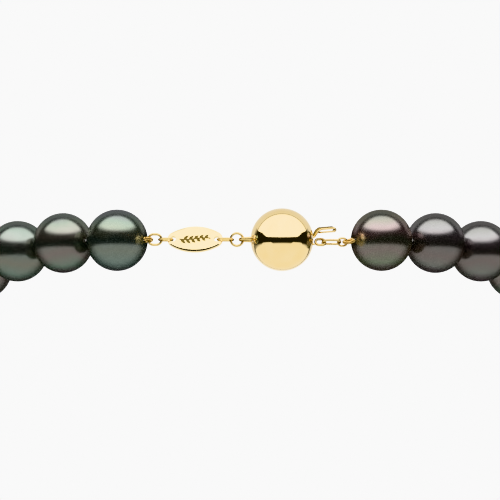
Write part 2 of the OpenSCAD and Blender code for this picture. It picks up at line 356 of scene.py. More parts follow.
WORN_EDGE = (0.42, 0.34, 0.2)
FINISH = {
    "ball_gold": gold("ball_gold", (0.95, 0.75, 0.40), (0.93, 0.71, 0.34), 0.045, 0.03),
    "tag_gold": gold("tag_gold", (0.96, 0.79, 0.44), (0.94, 0.75, 0.38), 0.10, 0.08, (0.2, 1, 1)),
    "chain_gold": gold(
        "chain_gold", (0.80, 0.62, 0.28), (0.66, 0.48, 0.19), 0.08, 0.06, edge=WORN_EDGE,
    ),
    "spring_gold": gold(
        "spring_gold", (0.93, 0.72, 0.36), (0.90, 0.67, 0.29), 0.16, 0.12, (0.15, 1, 1), WORN_EDGE,
    ),
    "gimp_wire": gold(
        "gimp_wire", (0.86, 0.63, 0.27), (0.70, 0.47, 0.16), 0.10, 0.05, edge=WORN_EDGE,
    ),
    "silk": thread_finish("silk", (0.80, 0.79, 0.76), (0.60, 0.59, 0.56)),
    # In each pearl finish the upper tone is lighter than the lower one: a painted highlight on the upper half.
    "pearl_peacock": nacre(
        "pearl_peacock",
        lower=(0.180, 0.160, 0.145),
        highlit_upper=(0.228, 0.232, 0.200),
        overtone=(0.150, 0.195, 0.158),
        edge=(0.46, 0.47, 0.46),
    ),
    "pearl_green_grey": nacre(
        "pearl_green_grey",
        lower=(0.176, 0.176, 0.146),
        highlit_upper=(0.214, 0.238, 0.212),
        overtone=(0.152, 0.196, 0.165),
        edge=(0.46, 0.48, 0.45),
    ),
    "pearl_aubergine_grey": nacre(
        "pearl_aubergine_grey",
        lower=(0.184, 0.158, 0.142),
        highlit_upper=(0.256, 0.214, 0.206),
        overtone=(0.160, 0.185, 0.135),
        edge=(0.50, 0.48, 0.43),
    ),
    "pearl_silver_grey": nacre(
        "pearl_silver_grey",
        lower=(0.165, 0.145, 0.134),
        highlit_upper=(0.220, 0.216, 0.214),
        overtone=(0.160, 0.165, 0.148),
        edge=(0.47, 0.46, 0.46),
    ),
    "pearl_teal": nacre(
        "pearl_teal",
        lower=(0.168, 0.188, 0.156),
        highlit_upper=(0.206, 0.234, 0.188),
        overtone=(0.150, 0.196, 0.172),
        edge=(0.47, 0.46, 0.49),
    ),
}


# ---------------------------------------------------------------- pearls and silk

BORE_R = 0.4 * MM
BORE_RIM = 0.14 * MM
PEARL_SIDES = 72
PEARL_RINGS = 44
THREAD_R = 0.2 * MM
KNOT_R = 0.56 * MM
KNOT_THICK = 0.46 * MM
KNOT_CORD_R = 0.14 * MM

# Turn from one knot to the next and of the ply along one thread, in radians.
KNOT_TURN = 1.7
THREAD_TWIST = 30

# First noise seed of the right-hand pearls; the left-hand ones start at 0.
RIGHT_SEEDS = 40


def pearl_names(side):
    return [f"pearl_{side}_{i:02d}" for i in range(1, SIDE_PEARLS + 1)] + ["pearl_centre"]


def knots(side):
    """Centres of the knots: knots[i] is between pearls i and i + 1, the last by pearl_centre."""
    found = [pivot(f"{side}_knot_{i:02d}") for i in range(1, SIDE_PEARLS)]
    if side == "left":
        return found + [pivot(f"left_knot_{SIDE_PEARLS:02d}")]
    return found + [2 * centre(f"pearl_right_{SIDE_PEARLS:02d}") - found[-1]]


def pearl_profile(radius):
    """Half section (distance from the bore's axis, height) of a drilled pearl, as a closed line."""
    rim_x = BORE_R + BORE_RIM
    rim_z = math.sqrt((radius - BORE_RIM) ** 2 - rim_x**2)
    rim_end = math.atan2(rim_z, rim_x)
    steps = 5
    top = [
        (rim_x + BORE_RIM * math.cos(a), rim_z + BORE_RIM * math.sin(a))
        for a in (math.pi + (rim_end - math.pi) * k / steps for k in range(steps))
    ]
    skin = [
        (radius * math.cos(a), radius * math.sin(a))
        for a in (rim_end - 2 * rim_end * k / PEARL_RINGS for k in range(PEARL_RINGS + 1))
    ]
    return top + skin + [(x, -z) for x, z in reversed(top)]


def make_pearl(name, node, hole_towards, seed):
    middle = centre(node)
    low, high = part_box(node)
    radius = (high[2] - low[2]) / 2
    axis = (hole_towards - middle).normalized()
    turn = axis.to_track_quat("Z", "Y").to_matrix()
    verts = []
    profile = pearl_profile(radius)
    for x, z in profile:
        for k in range(PEARL_SIDES):
            a = math.tau * k / PEARL_SIDES
            p = turn @ Vector((x * math.cos(a), x * math.sin(a), z))
            skin = min(1.0, (p.length / radius) ** 8)
            uneven = 0.0016 * wander(p, seed, 260) + 0.0007 * wander(p, seed + 50, 900)
            verts.append(middle + p * (1 + skin * uneven))
    faces = rings_to_faces(len(profile), PEARL_SIDES, True)
    obj = piece(name, verts, faces, FINISH[SLOTS[node]], node, 60)
    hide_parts(node)


def ply(radius, share, twist, sides=10):
    """Section of a two-ply thread, turned along its run."""
    ring = []
    for k in range(sides):
        a = math.tau * k / sides
        r = radius * (0.86 + 0.14 * math.cos(2 * (a - twist * share)))
        ring.append((r * math.cos(a), r * math.sin(a)))
    return ring


def make_thread(name, start, end, node, silk_node):
    """The thread through one pearl, from knot to knot."""
    count = 28
    path = [start.lerp(end, k / (count - 1)) for k in range(count)]
    verts, faces = sweep(path, lambda i, s: ply(THREAD_R, s, THREAD_TWIST))
    obj = piece(name, verts, faces, FINISH["silk"], node, 60)
    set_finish(obj, "silk")
    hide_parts(silk_node)


def make_knot(name, at, axis, node, silk_node, phase):
    """An overhand knot pulled tight: a flattened trefoil of two-ply thread across the gap."""
    turn = axis.to_track_quat("Z", "Y").to_matrix() @ Matrix.Rotation(phase, 3, "Z")
    count = 84
    wide = (KNOT_R - KNOT_CORD_R) / 3
    thick = KNOT_THICK / 2 - KNOT_CORD_R
    path = []
    for k in range(count):
        t = math.tau * k / count
        loop = Vector((math.sin(t) + 2 * math.sin(2 * t), math.cos(t) - 2 * math.cos(2 * t), 0)) * wide
        path.append(at + turn @ (loop - UP * thick * math.sin(3 * t)))
    verts, faces = sweep(path, lambda i, s: ply(KNOT_CORD_R, s, 0, 8), closed=True)
    obj = piece(name, verts, faces, FINISH["silk"], node, 60)
    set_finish(obj, "silk")
    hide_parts(silk_node)


def make_strand(side):
    names = pearl_names(side)
    places = knots(side)
    last = SIDE_PEARLS if side == "left" else SIDE_PEARLS - 1
    for i in range(last + 1):
        node = names[i]
        label = node.replace("pearl_", "")
        middle = centre(node)
        ahead = places[i] if i < SIDE_PEARLS else 2 * middle - places[-1]
        behind = places[i - 1] if i else 2 * middle - ahead
        make_pearl("nacre_" + label, node, ahead, i + (0 if side == "left" else RIGHT_SEEDS))
        make_thread("thread_" + label, behind, ahead, node, "silk_" + side)
        if i < SIDE_PEARLS:
            next_middle = centre(names[i + 1])
            axis = (next_middle - middle).normalized()
            make_knot("knot_" + label, ahead, axis, node, "silk_" + side, KNOT_TURN * i)


make_strand("left")
make_strand("right")


# ---------------------------------------------------------------- wire work

WIRE_SIDES = 18
SOLDER_SWELL = 0.05
SOLDER_SPREAD = 1.6
BALL_LOOP_ROLL = math.radians(12)
BALL_LOOP_SINK = 0.15 * MM
FOOT_SWELL = 0.35
FOOT_FALL = 14


def link_path(near, far, bend, upright):
    """Closed centre line of a link in chain coordinates, with half-circle ends."""
    steps = 28
    points = []
    for x0, start in ((far - bend, -90), (near + bend, 90)):
        for k in range(steps + 1):
            a = math.radians(start + 180 * k / steps)
            points.append((x0 + bend * math.cos(a), bend * math.sin(a)))
    run = far - near - 2 * bend
    if run < 0.01 * MM:
        points = points[:steps] + points[steps + 1:-1]
    return [Vector((x, 0, y)) if upright else Vector((x, y, 0)) for x, y in points]


def make_link(name, node, along, upright, solder_at, roll_deg=0):
    """A wire link sized by its CAD node, with a faint soldered seam, rolled about the chain."""
    place = chain_frame(along, centre(node).z - BALL_C.z)
    origin = place.translation
    near, far = extent(node, origin, along)
    across = UP.cross(along)
    wide = extent(node, origin, UP if upright else across)
    thin = extent(node, origin, across if upright else UP)
    wire_r = (thin[1] - thin[0]) / 2
    bend = (wide[1] - wide[0]) / 2 - wire_r
    path = link_path(near + wire_r, far - wire_r, min(bend, (far - near) / 2 - wire_r), upright)
    roll = Matrix.Rotation(math.radians(roll_deg), 3, "X")
    path = [roll @ p for p in path]
    count = len(path)

    def section(i, share):
        gap = min(abs(i - solder_at * count), count - abs(i - solder_at * count))
        swell = 1 + SOLDER_SWELL * math.exp(-((gap / SOLDER_SPREAD) ** 2))
        return circle(wire_r * swell, WIRE_SIDES)

    sideways = UP.cross(Vector((1, 0, 0)))
    verts, faces = sweep(path, section, closed=True, first_normal=sideways if upright else UP)
    obj = piece(name, verts, faces, FINISH[SLOTS[node]], node, 60, place)
    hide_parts(node)


make_link("ring_beside_ball", "round_ring", CHAIN_LEFT, True, 0.25)
make_link("link_before_tag", "inner_link", CHAIN_LEFT, False, 0.3, 10)
make_link("link_after_tag", "outer_link", CHAIN_LEFT, False, 0.8, 10)
make_link("link_oval", "oval_link", CHAIN_LEFT, True, 0.7)
make_link("link_right", "right_link", CHAIN_RIGHT, False, 0.3, -30)
make_link("ring_right", "right_ring", CHAIN_RIGHT, True, 0.75)
make_link("tongue_eye", "tongue_loop", CHAIN_RIGHT, True, 0.5, -30)


def make_ball_loop():
    """The half loop soldered to the ball: out of the shell, round and back."""
    node = "ball_loop"
    place = chain_frame(CHAIN_LEFT)
    near, far = extent(node, BALL_C, CHAIN_LEFT)
    across = UP.cross(CHAIN_LEFT)
    wide = extent(node, BALL_C, across)
    thin = extent(node, BALL_C, UP)
    wire_r = (thin[1] - thin[0]) / 2
    bend = (wide[1] - wide[0]) / 2 - wire_r
    root = math.sqrt(BALL_R**2 - bend**2) - BALL_LOOP_SINK
    turn_x = far - wire_r - bend
    leg_steps, turn_steps = 6, 32
    leg = [Vector((root + (turn_x - root) * k / leg_steps, -bend, 0)) for k in range(leg_steps)]
    turn = [
        Vector((turn_x + bend * math.cos(a), bend * math.sin(a), 0))
        for a in (math.radians(-90 + 180 * k / turn_steps) for k in range(turn_steps + 1))
    ]
    path = leg + turn + [Vector((p.x, -p.y, 0)) for p in reversed(leg)]
    roll = Matrix.Rotation(BALL_LOOP_ROLL, 3, "X")
    path = [roll @ p for p in path]

    def section(i, share):
        foot_swell = FOOT_SWELL * math.exp(-((min(share, 1 - share) * FOOT_FALL) ** 2))
        return circle(wire_r * (1 + foot_swell), WIRE_SIDES)

    verts, faces = sweep(path, section, first_normal=UP)
    obj = piece("ball_eye", verts, faces, FINISH["chain_gold"], node, 60, place)
    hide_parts(node)


make_ball_loop()


def smooth_line(points, steps):
    """Catmull-Rom line through points."""
    padded = [2 * points[0] - points[1]] + points + [2 * points[-1] - points[-2]]
    line = []
    for i in range(1, len(padded) - 2):
        p0, p1, p2, p3 = padded[i - 1:i + 3]
        for k in range(steps):
            t = k / steps
            line.append(
                0.5 * (2 * p1 + (p2 - p0) * t + (2 * p0 - 5 * p1 + 4 * p2 - p3) * t * t
                       + (3 * p1 - p0 - 3 * p2 + p3) * t**3)
            )
    line.append(points[-1])
    return line


GIMP_WIRE_R = 0.075 * MM
GIMP_PITCH = 2.08 * GIMP_WIRE_R
GIMP_LIFT = 0.02 * MM
GIMP_PINCH = 0.25
GIMP_ARM_GAP = 0.96
GIMP_ARM_SHARES = (0.62, 0.3)
FIRST_KNOT = {"pearl_left_01": "left_knot_01", "pearl_right_01": "right_knot_01"}


def drill_mouth(pearl):
    """Place just outside a first pearl where its drill hole opens towards the clasp."""
    middle = centre(pearl)
    low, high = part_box(pearl)
    away = (middle - pivot(FIRST_KNOT[pearl])).normalized()
    return middle + away * ((high[2] - low[2]) / 2 + GIMP_LIFT)


def coil(line, radius, pitch, per_turn=12):
    """A helix of that radius and pitch round a line."""
    lengths = [0.0]
    for a, b in zip(line, line[1:]):
        lengths.append(lengths[-1] + (b - a).length)
    steps = round(lengths[-1] / pitch) * per_turn
    path = []
    seg = 0
    for k in range(steps + 1):
        s = lengths[-1] * k / steps
        while seg < len(line) - 2 and lengths[seg + 1] < s:
            seg += 1
        f = (s - lengths[seg]) / (lengths[seg + 1] - lengths[seg])
        p = line[seg].lerp(line[seg + 1], f)
        t = (line[seg + 1] - line[seg]).normalized()
        n = (UP - t * UP.dot(t)).normalized()
        a = math.tau * k / per_turn
        path.append(p + (n * math.cos(a) + t.cross(n) * math.sin(a)) * radius)
    return path


def make_gimp(name, node, along, first_pearl, roll_deg):
    """Coiled bullion wire: a tight helix along a loop that starts and ends in the drill hole."""
    place = chain_frame(along, centre(node).z - BALL_C.z)
    origin = place.translation
    near = extent(node, origin, along)[0]
    wide = extent(node, origin, UP.cross(along))
    thin = extent(node, origin, UP)
    tube_r = (thin[1] - thin[0]) / 2
    bend = (wide[1] - wide[0]) / 2 - tube_r
    mouth = place.inverted() @ drill_mouth(first_pearl)
    start_x = near + tube_r + bend
    side_gap = tube_r * GIMP_ARM_GAP
    arm = [Vector((mouth.x, mouth.y - side_gap, mouth.z))]
    for f in GIMP_ARM_SHARES:
        x = start_x + (mouth.x - start_x) * f
        arm.append(Vector((x, -bend * (1 - GIMP_PINCH * f**3), mouth.z * f)))
    arc = [
        Vector((start_x - bend * math.sin(a), -bend * math.cos(a), 0))
        for a in (math.pi * k / 8 for k in range(9))
    ]
    back = [Vector((p.x, -p.y, p.z)) for p in arm]
    back[0].y += 2 * mouth.y
    line = smooth_line(arm + arc + back[::-1], 26)
    roll = Matrix.Rotation(math.radians(roll_deg), 4, "X")
    path = [roll @ p for p in coil(line, tube_r - GIMP_WIRE_R, GIMP_PITCH)]
    verts, faces = sweep(path, lambda i, s: circle(GIMP_WIRE_R, 7))
    obj = piece(name, verts, faces, FINISH["gimp_wire"], node, 70, place)
    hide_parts(node)


make_gimp("gimp_coil_left", "gimp_left", CHAIN_LEFT, "pearl_left_01", 22)
make_gimp("gimp_coil_right", "gimp_right", CHAIN_RIGHT, "pearl_right_01", 15)


# ---------------------------------------------------------------- ball clasp

SHELL_WALL = 0.5 * MM
SLOT_W = 2.6 * MM
SLOT_LOW = -0.98 * MM
SLOT_HIGH = 0.72 * MM
SLOT_CORNER = 0.3 * MM
SLOT_EDGE = 0.07 * MM
SLOT_BAND = 2.2 * SLOT_EDGE
POLE_GAP = 0.004
BALL_SIDES = 96
BALL_RINGS = 72
RIM_RINGS = 4
INSIDE_RINGS = 24


def slot_outline():
    """Points of the slot's outline as (across, up), one per ball meridian."""
    outline = rounded_rect(SLOT_W, SLOT_HIGH - SLOT_LOW, SLOT_CORNER, 8)
    middle = (SLOT_HIGH + SLOT_LOW) / 2
    ring = outline + outline[:1]
    lengths = [0.0]
    for a, b in zip(ring, ring[1:]):
        lengths.append(lengths[-1] + math.dist(a, b))
    points, seg = [], 0
    for k in range(BALL_SIDES):
        s = lengths[-1] * k / BALL_SIDES
        while lengths[seg + 1] < s:
            seg += 1
        f = (s - lengths[seg]) / (lengths[seg + 1] - lengths[seg])
        a, b = ring[seg], ring[seg + 1]
        points.append((a[0] + (b[0] - a[0]) * f, a[1] + (b[1] - a[1]) * f + middle))
    return points


def make_ball():
    """One hollow polished ball with a rounded slot for the tongue, its poles on the chain line."""
    outline = slot_outline()

    def on_sphere(y, z, r):
        return Vector((math.sqrt(r * r - y * y - z * z), y, z))

    def ring_at(share, r):
        """share 0 is the slot's edge and 1 the far pole."""
        ring = []
        for y, z in outline:
            edge = on_sphere(y, z, r) / r
            polar0 = math.acos(edge.x)
            azimuth = math.atan2(edge.z, edge.y)
            polar = polar0 + (math.pi - polar0) * share
            s = math.sin(polar)
            ring.append(Vector((math.cos(polar), s * math.cos(azimuth), s * math.sin(azimuth))) * r)
        return ring

    def outside_slot(y, z, distance):
        """The ball's surface at a distance outside a point of the slot's outline."""
        grow = 1 + distance / math.hypot(y, z)
        return on_sphere(y * grow, z * grow, BALL_R)

    to_edge = 1 - POLE_GAP
    rings = [ring_at(to_edge * (1 - k / BALL_RINGS), BALL_R) for k in range(BALL_RINGS - 1)]
    rings.append([outside_slot(y, z, SLOT_BAND) for y, z in outline])
    for k in range(RIM_RINGS + 1):
        a = math.radians(90 * k / RIM_RINGS)
        sunk = 1 - SLOT_EDGE * (1 - math.cos(a)) / BALL_R
        rings.append([outside_slot(y, z, SLOT_EDGE * (1 - math.sin(a))) * sunk for y, z in outline])
    inside = [to_edge * (k / INSIDE_RINGS) ** 1.4 for k in range(INSIDE_RINGS + 1)]
    rings += [ring_at(share, BALL_R - SHELL_WALL) for share in inside]
    verts = [v for ring in rings for v in ring]
    faces = rings_to_faces(len(rings), BALL_SIDES, False)
    faces.append(tuple(range(BALL_SIDES))[::-1])
    faces.append(tuple((len(rings) - 1) * BALL_SIDES + k for k in range(BALL_SIDES)))
    place = chain_frame(CHAIN_RIGHT)
    obj = piece("ball_shell", verts, faces, FINISH["ball_gold"], "ball_cup_left", 40, place)
    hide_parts("ball_cup_left", "ball_cup_right")


make_ball()


def soften(node, width):
    """Gives a CAD node that stays visible its finish and slightly rounded edges."""
    obj = NODES[node]
    obj.data.materials.clear()
    obj.data.materials.append(FINISH[SLOTS[node]])
    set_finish(obj, SLOTS[node])
    edge = obj.modifiers.new("rounded_edges", "BEVEL")
    edge.width = width
    edge.segments = 2
    edge.limit_method = "ANGLE"
    edge.angle_limit = math.radians(50)


soften("catch_box", 0.03 * MM)


STRIP_STEP = 0.12 * MM
STRIP_EDGE = 0.42
TIP_FLAT = 0.25
END_SLIM = 0.6
END_SLIM_RUN = 0.05 * MM


def strip_path(corners, radius, steps=6):
    """Line through (x, z) corners with each inner corner rounded by radius."""
    pts = [Vector((x, 0, z)) for x, z in corners]
    line = [pts[0]]
    for a, b, c in zip(pts, pts[1:], pts[2:]):
        u, v = (a - b).normalized(), (c - b).normalized()
        half = u.angle(v) / 2
        if half > math.radians(88):
            continue
        cut = min(radius / math.tan(half), 0.45 * (a - b).length, 0.45 * (c - b).length)
        start, end = b + u * cut, b + v * cut
        for k in range(steps + 1):
            t = k / steps
            line.append(start * (1 - t) ** 2 + b * 2 * t * (1 - t) + end * t * t)
    line.append(pts[-1])
    return line


def half_turn(x, z, radius, start, end, steps=12):
    """Corners of an arc in the strip's plane, as (x, z)."""
    turns = [math.radians(start + (end - start) * k / steps) for k in range(steps + 1)]
    return [(x + radius * math.cos(a), z + radius * math.sin(a)) for a in turns]


def make_strip(name, node, corners, width, thick, round_tip, corner_radius, twist=None):
    """A bent strip with rounded edges and, at its end, a rounded tip.

    corners are (x, z) in millimetres, and twist gives the strip's turn at a distance along it.
    """
    line = strip_path([(x * MM, z * MM) for x, z in corners], corner_radius)
    dense = []
    for a, b in zip(line, line[1:]):
        n = max(1, round((b - a).length / STRIP_STEP))
        dense += [a.lerp(b, k / n) for k in range(n)]
    dense.append(line[-1])
    gone = [0.0]
    for a, b in zip(dense, dense[1:]):
        gone.append(gone[-1] + (b - a).length)

    def section(i, share):
        left = gone[-1] - gone[i]
        tip = 1.0
        if left < round_tip:
            bow = math.sqrt(max(0.0, 1 - (1 - left / round_tip) ** 2))
            tip = bow * (1 - TIP_FLAT) + TIP_FLAT
        slim = 1.0 if left > END_SLIM_RUN else END_SLIM
        ring = rounded_rect(thick * slim, width * tip, thick * STRIP_EDGE * slim, 4)
        if not twist:
            return ring
        turn = twist(gone[i])
        c, s = math.cos(turn), math.sin(turn)
        return [(u * c - v * s, u * s + v * c) for u, v in ring]

    verts, faces = sweep(dense, section, first_normal=UP)
    obj = piece(name, verts, faces, FINISH[SLOTS[node]], node, 50, chain_frame(CHAIN_RIGHT))
    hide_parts(node)


# Places on the lever, its leaf and the tongue, in millimetres: x along the chain, z up.
LEAF_Z = 0.28
LEAF_END = 4.6
FOLD_X = -2.35
FOLD_R = 0.25
FOLD_END = (-1.5, -0.34)
LEVER_RISE = [(5.1, 0.4), (5.75, 1.45), (6.2, 1.75)]
LEVER_TIP = (8.3, 1.92)
LEVER_FOLD_R = 0.31
LEVER_END = (5.95, 1.12)
TONGUE_Z = -0.75

LEVER_W = 1.9 * MM
LEVER_THICK = 0.26 * MM
LEVER_ROUND_TIP = 0.7 * MM
LEVER_CORNER_R = 0.35 * MM
TONGUE_W = 2.2 * MM
TONGUE_THICK = 0.3 * MM
TONGUE_ROUND_TIP = 0.12 * MM
TONGUE_CORNER_R = 0.2 * MM

LEVER_TWIST = math.radians(8)
TWIST_START, TWIST_RUN = 9.2 * MM, 1.6 * MM
UNTWIST_START, UNTWIST_RUN = 13.0 * MM, 0.6 * MM


def lever_twist(gone):
    """The release lever is bent slightly off level, from the slot to its fold."""
    rising = min(1.0, max(0.0, (gone - TWIST_START) / TWIST_RUN))
    falling = min(1.0, max(0.0, (gone - UNTWIST_START) / UNTWIST_RUN))
    return LEVER_TWIST * (rising - falling)


lever_corners = (
    [FOLD_END, (FOLD_X, LEAF_Z - 2 * FOLD_R)]
    + half_turn(FOLD_X, LEAF_Z - FOLD_R, FOLD_R, 270, 90)[1:]
    + [(LEAF_END, LEAF_Z), *LEVER_RISE, LEVER_TIP]
    + half_turn(LEVER_TIP[0], LEVER_TIP[1] - LEVER_FOLD_R, LEVER_FOLD_R, 90, -90)[1:]
    + [LEVER_END]
)
make_strip(
    "lever_spring", "spring_lever", lever_corners,
    LEVER_W, LEVER_THICK, LEVER_ROUND_TIP, LEVER_CORNER_R, lever_twist,
)
tongue_corners = [(x / MM, TONGUE_Z) for x in extent("tongue_base", BALL_C, CHAIN_RIGHT)]
make_strip(
    "tongue_strip", "tongue_base", tongue_corners,
    TONGUE_W, TONGUE_THICK, TONGUE_ROUND_TIP, TONGUE_CORNER_R,
)


# ---------------------------------------------------------------- tag

TAG_LEAN = math.radians(25)
TAG_EDGE = 0.05 * MM
TAG_BEVEL = 0.36 * MM
TAG_BEVEL_SLOPE = math.radians(24)
TAG_END_R = 1.35 * MM
TAG_SIDES = 256
TAG_RINGS = 92
TAG_BACK_RINGS = 16
TAG_HOLE_R = 0.5 * MM
TAG_HOLE_RIM = 0.4 * MM
HOLE_SIDES = 48

# The engraved sprig: a waved stem with pairs of leaves that get shorter along it.
ENGRAVE = 0.09 * MM
STEM_HALF_L = 2.5 * MM
STEM_HALF_W = 0.12 * MM
STEM_WAVE = 0.16 * MM
STEM_WAVE_L = 0.95 * MM
LEAF_PAIRS = 5
LEAF_FIRST = -2.05 * MM
LEAF_STEP = 0.85 * MM
LEAF_STAGGER = 0.22 * MM
LEAF_L = 1.12 * MM
LEAF_SHORTER = 0.08 * MM
LEAF_HALF_W = 0.27 * MM
LEAF_LEAN = math.radians(42)


def tag_outline(length, height, end_r):
    """Oval of four tangent arcs as a function from angle to radius."""
    run = length / 2 - end_r
    side_r = (run * run + height * height / 4 - end_r * end_r) / (height - 2 * end_r)
    side_c = side_r - height / 2
    joint = math.atan2(end_r * side_c / (side_r - end_r), run + end_r * run / (side_r - end_r))

    def radius(a):
        a = math.atan2(abs(math.sin(a)), abs(math.cos(a)))
        if a < joint:
            return run * math.cos(a) + math.sqrt(end_r**2 - (run * math.sin(a)) ** 2)
        return -side_c * math.sin(a) + math.sqrt(side_r**2 - (side_c * math.cos(a)) ** 2)

    return radius


def stem_y(x):
    return STEM_WAVE * math.sin(x / STEM_WAVE_L)


def leaf_depth(x, y):
    """How deep the leaf sprig is cut at a place on the tag's face, from 0 to 1."""
    deep = 0.0
    off_stem = abs(y - stem_y(x))
    if abs(x) < STEM_HALF_L and off_stem < STEM_HALF_W:
        deep = math.sqrt(1 - (off_stem / STEM_HALF_W) ** 2)
    for k in range(LEAF_PAIRS):
        for side in (-1, 1):
            root_x = LEAF_FIRST + LEAF_STEP * k + LEAF_STAGGER * side
            lean = LEAF_LEAN * side
            dx, dy = x - root_x, y - stem_y(root_x)
            along = dx * math.cos(lean) + dy * math.sin(lean)
            aside = -dx * math.sin(lean) + dy * math.cos(lean)
            share = along / (LEAF_L - LEAF_SHORTER * k)
            if 0.06 < share < 1:
                half = LEAF_HALF_W * math.sin(math.pi * share**0.8)
                if abs(aside) < half:
                    deep = max(deep, 1 - (abs(aside) / half) ** 4)
    return deep


def edge_drop(edge):
    """How far the face has dropped at a distance from the tag's outline: a bevel, then a round."""
    drop = max(0.0, TAG_BEVEL - edge) * math.tan(TAG_BEVEL_SLOPE)
    return drop + TAG_EDGE - math.sqrt(max(0.0, TAG_EDGE**2 - max(0.0, TAG_EDGE - edge) ** 2))


def cut_hole(obj, place, depth):
    """Cuts one of the tag's round holes through obj, along the z axis of place."""
    pin = bmesh.new()
    bmesh.ops.create_cone(
        pin, cap_ends=True, segments=HOLE_SIDES,
        radius1=TAG_HOLE_R, radius2=TAG_HOLE_R, depth=depth, matrix=place,
    )
    mesh = bpy.data.meshes.new("hole")
    pin.to_mesh(mesh)
    pin.free()
    cutter = bpy.data.objects.new("hole", mesh)
    bpy.context.scene.collection.objects.link(cutter)
    cut = obj.modifiers.new("hole", "BOOLEAN")
    cut.operation = "DIFFERENCE"
    cut.object = cutter
    bpy.context.view_layer.update()
    cut_obj = obj.evaluated_get(bpy.context.evaluated_depsgraph_get())
    holed = bpy.data.meshes.new_from_object(cut_obj)
    obj.modifiers.clear()
    obj.data = holed
    bpy.data.objects.remove(cutter)


def make_tag():
    """Flat oval plate with a bevelled rim, an engraved sprig on its face whose cuts are darkened with painted
    shade, and a hole at each end.
    """
    node = "tag"
    near, far = extent(node, BALL_C, CHAIN_LEFT)
    middle = BALL_C + CHAIN_LEFT * (near + far) / 2
    across = UP.cross(CHAIN_LEFT)
    tall = UP * math.cos(TAG_LEAN) - across * math.sin(TAG_LEAN)
    out = CHAIN_LEFT.cross(tall)
    place = Matrix((CHAIN_LEFT, tall, out)).transposed().to_4x4()
    place.translation = middle
    height = extent(node, middle, tall)
    thick = extent(node, middle, out)
    half_t = (thick[1] - thick[0]) / 2
    radius_at = tag_outline(far - near, height[1] - height[0], TAG_END_R)
    face = 1 if out.y < 0 else -1

    def ring_at(share, engraved):
        """One ring at a share of the outline's radius, on the engraved face or on the back."""
        ring = []
        for n in range(TAG_SIDES):
            a = math.tau * n / TAG_SIDES
            r = radius_at(a)
            x, y = share * r * math.cos(a), share * r * math.sin(a)
            z = half_t - edge_drop(r * (1 - share))
            if engraved:
                z -= ENGRAVE * leaf_depth(x * face, y)
            ring.append((x, y, z * face if engraved else -z * face))
        return ring

    rings = [ring_at((k / TAG_RINGS) ** 0.9, True) for k in range(1, TAG_RINGS + 1)]
    rings += [ring_at((k / TAG_BACK_RINGS) ** 0.5, False) for k in range(TAG_BACK_RINGS, 0, -1)]
    verts = [v for ring in rings for v in ring]
    faces = rings_to_faces(len(rings), TAG_SIDES, False)
    faces.append(tuple(range(TAG_SIDES))[::-1])
    faces.append(tuple((len(rings) - 1) * TAG_SIDES + n for n in range(TAG_SIDES)))
    obj = piece("tag_plate", verts, faces, FINISH["tag_gold"], node, 40, place)
    hole_x = (far - near) / 2 - TAG_HOLE_RIM - TAG_HOLE_R
    for side in (-1, 1):
        cut_hole(obj, place @ Matrix.Translation((side * hole_x, 0, 0)), 4 * half_t)
    shade(obj.data, 40)
    obj.data.materials.append(ENGRAVING_SHADE)
    back = place.inverted()
    # Faces inside the engraved cuts take a near-black gold: painted shade in the recesses.
    for f in obj.data.polygons:
        c = back @ f.center
        f.material_index = int(face * c.z > 0 and leaf_depth(c.x * face, c.y) > 0.25)
    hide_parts(node)


# Painted shade: a near-black gold for the engraved cuts, standing for the shade inside them.
ENGRAVING_SHADE = gold("engraving_shade_gold", (0.095, 0.068, 0.020), (0.070, 0.050, 0.014), 0.35, 0.2)
make_tag()


# ---------------------------------------------------------------- studio

# Brightness of the studio's parts.
SOFTBOX = 3.3
TABLE = 1.2
SURROUND = 0.9
GAP = 0.02
PANEL_RIM = 0.45
FAR_TABLE = 0.3
FAR_WALL = 0.75
BACKDROP = 1.68

# Elevations in degrees at which the dark gap at the horizon starts and ends.
GAP_TOP_FRONT, GAP_TOP_SIDE = 9.5, 20.0
GAP_LOW_FRONT, GAP_LOW_SIDE, GAP_LOW_CAMERA = -9.0, -16.5, -16.0
PEARL_GAP_LOW = (-17.0, -9.0)
PEARL_GAP_TOP = (31.0, 43.0)

SHELL_R = 1.2
FLOOR_R = 3.0
FLOOR_Z = -0.25


class Maths:
    """Short names for the arithmetic that lays the studio's light out by direction."""

    def __init__(self, tree, direction):
        self.tree = tree
        split = add(tree, "ShaderNodeSeparateXYZ")
        tree.links.new(direction, split.inputs[0])
        self.x, self.y, self.z = split.outputs
        self.elevation = self.op("MULTIPLY", self.op("ARCSINE", self.z), 180 / math.pi)

    def op(self, kind, a, b=None):
        node = add(self.tree, "ShaderNodeMath", operation=kind)
        for socket, value in zip(node.inputs, (a, b)):
            if isinstance(value, (int, float)):
                socket.default_value = value
            elif value is not None:
                self.tree.links.new(value, socket)
        return node.outputs[0]

    def rise(self, value, low, high):
        """0 below low, 1 above high."""
        node = add(self.tree, "ShaderNodeMapRange", interpolation_type="SMOOTHSTEP")
        for key, v in (("From Min", low), ("From Max", high), ("To Min", 0.0), ("To Max", 1.0)):
            node.inputs[key].default_value = v
        self.tree.links.new(value, node.inputs["Value"])
        return node.outputs["Result"]

    def fall(self, value, low, high):
        return self.op("SUBTRACT", 1.0, self.rise(value, low, high))

    def times(self, a, b):
        return self.op("MULTIPLY", a, b)

    def mix(self, share, a, b):
        """a where share is 0, b where it is 1."""
        return self.op("ADD", self.times(self.op("SUBTRACT", 1.0, share), a), self.times(share, b))


